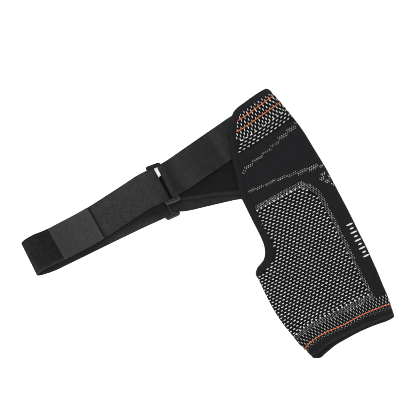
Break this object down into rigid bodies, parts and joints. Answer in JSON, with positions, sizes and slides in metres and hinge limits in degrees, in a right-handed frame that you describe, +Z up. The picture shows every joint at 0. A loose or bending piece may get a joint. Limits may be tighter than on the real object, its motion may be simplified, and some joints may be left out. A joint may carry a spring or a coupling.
{
  "type": "shoulder compression sleeve",
  "caption": "Knitted compression sleeve for the upper arm and shoulder, an open tube with a shoulder cap and a chest strap that joins front and back bands through rectangular loops, lying flat.",
  "frame": {"origin": "on the flat underside of the sleeve, under the middle of the arm tube, at the level of the surface it lies on", "axes": "+X across the sleeve away from the chest strap, +Y from the cuff to the shoulder cap, +Z up out of the surface"},
  "size_m": [0.43, 0.3736, 0.031],
  "materials": {
    "knit": "matt jacquard knit with raised pale floats",
    "hem": "matt fine rib knit",
    "binding": "matt soft tape",
    "band": "matt brushed cloth",
    "ring": "satin moulded",
    "webbing": "woven elastic webbing with loop pile on the other face",
    "hook": "smooth back of hook tape"
  },
  "bodies": {
    "root": {"knit_sleeve": "knit", "cuff_hem": "hem", "edge_binding": "binding", "front_band": "band", "back_band": "band", "front_ring": "ring", "back_ring": "ring", "strap": "webbing", "hook_tab": "hook"}
  },
  "joints": []
}
